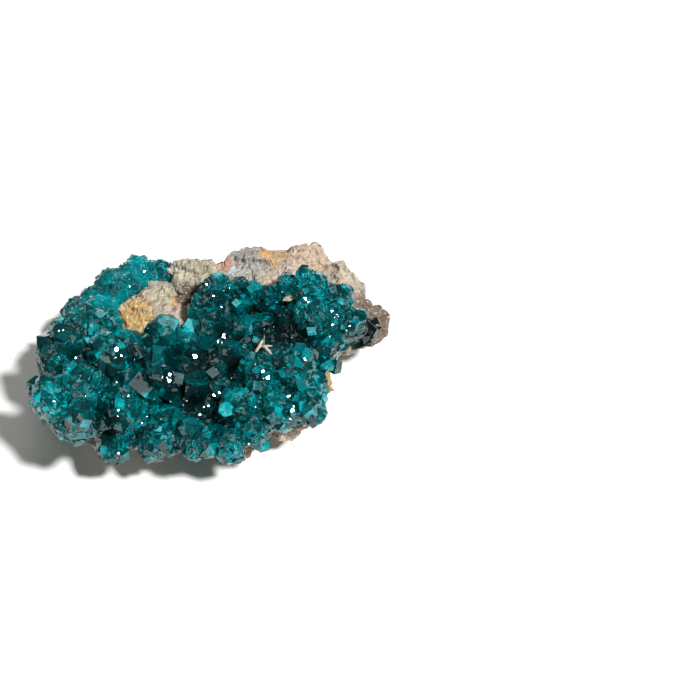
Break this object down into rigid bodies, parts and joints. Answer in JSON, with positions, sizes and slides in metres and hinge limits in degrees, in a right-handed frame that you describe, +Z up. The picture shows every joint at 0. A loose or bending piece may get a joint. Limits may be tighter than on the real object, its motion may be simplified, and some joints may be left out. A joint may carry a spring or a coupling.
{
  "type": "dioptase mineral specimen",
  "caption": "Hand specimen of dioptase: a druse of stubby teal-green crystals over a craggy pale rock matrix, which rests on a flat foot.",
  "frame": {"origin": "on the resting surface, under the middle of the specimen", "axes": "+X along the specimen's longest side to its right, +Y to its back, where the bare rock shows, +Z up"},
  "size_m": [0.043, 0.0344, 0.0164],
  "materials": {
    "host_rock": "rough",
    "dioptase": "vitreous"
  },
  "bodies": {
    "root": {"host_rock": "host_rock", "dioptase_crust": "dioptase"}
  },
  "joints": []
}
